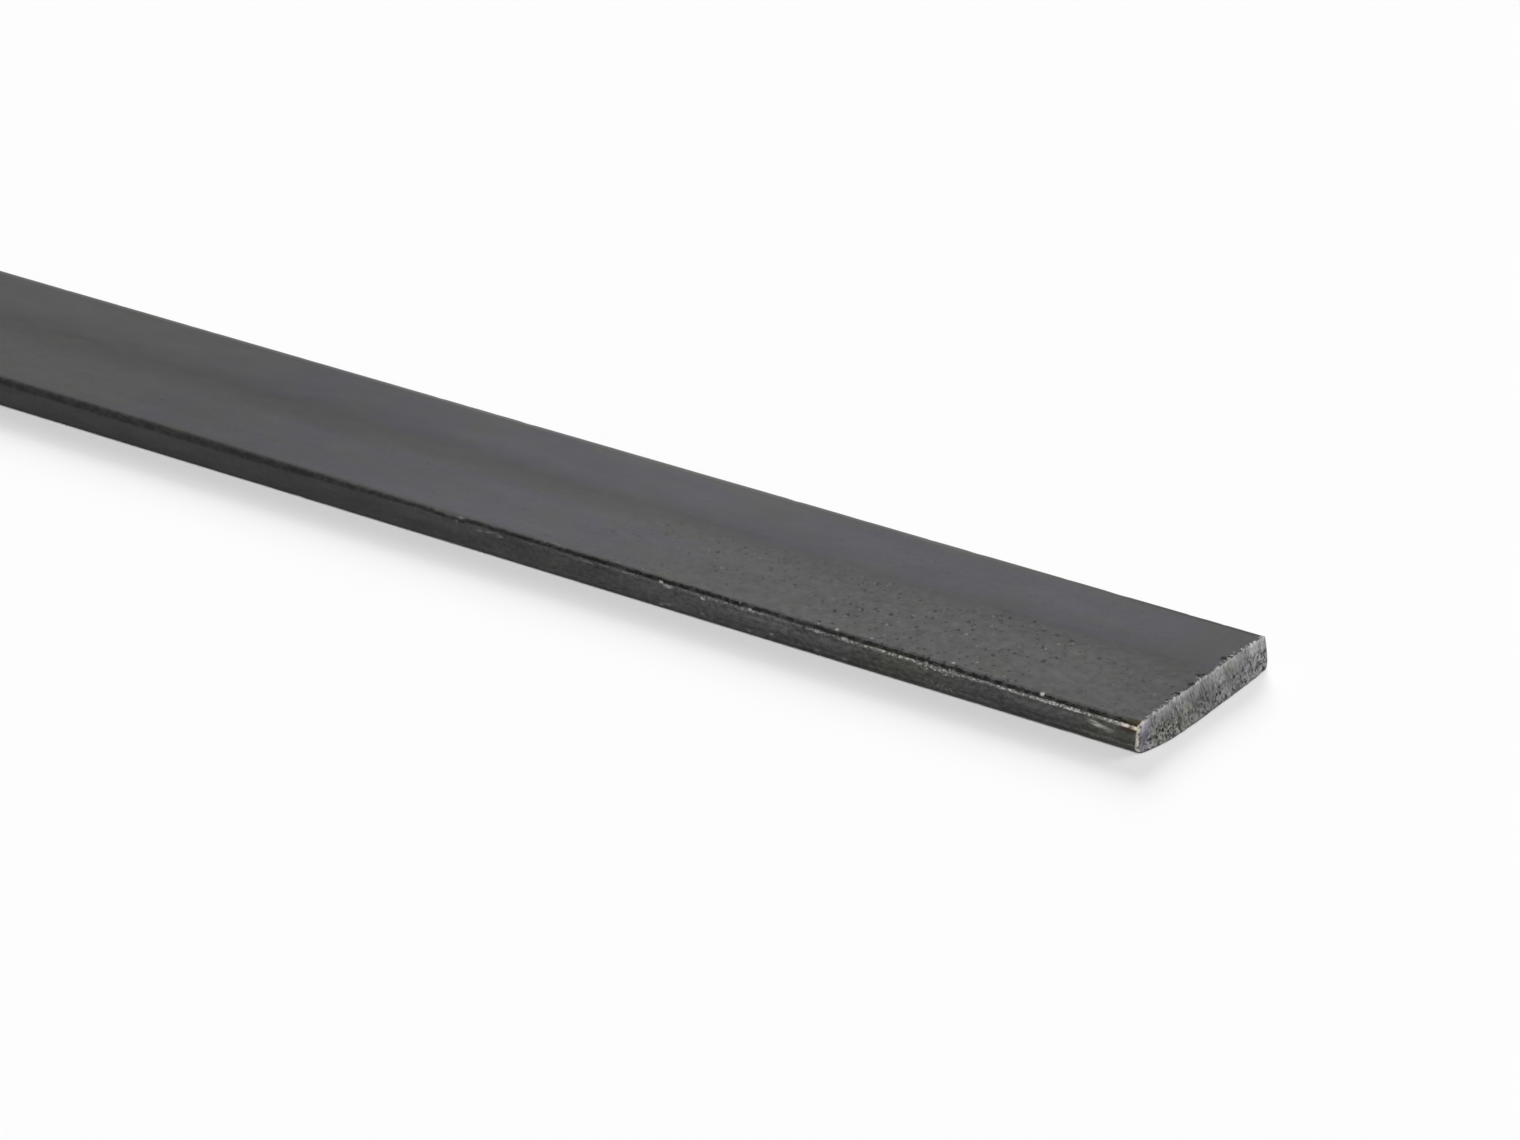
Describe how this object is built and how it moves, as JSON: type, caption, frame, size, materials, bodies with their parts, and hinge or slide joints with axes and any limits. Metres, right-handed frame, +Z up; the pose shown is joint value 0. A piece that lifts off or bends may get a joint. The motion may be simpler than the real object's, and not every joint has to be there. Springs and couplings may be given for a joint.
{
  "type": "flat bar",
  "caption": "Hot-rolled steel flat bar of plain rectangular section, with rounded corners, sheared ends and dark mill scale",
  "frame": {"origin": "in the plane that the bar rests on, under the middle of its length and width", "axes": "+X along the bar's length, +Y across its width, +Z up through its thickness"},
  "size_m": [1.0019, 0.035, 0.005],
  "materials": {
    "mill_scale": "dark blue-grey hot-rolled mill scale, worn bright along the corners, sheared bare at the ends"
  },
  "bodies": {
    "root": {"flat_bar": "mill_scale"}
  },
  "joints": []
}
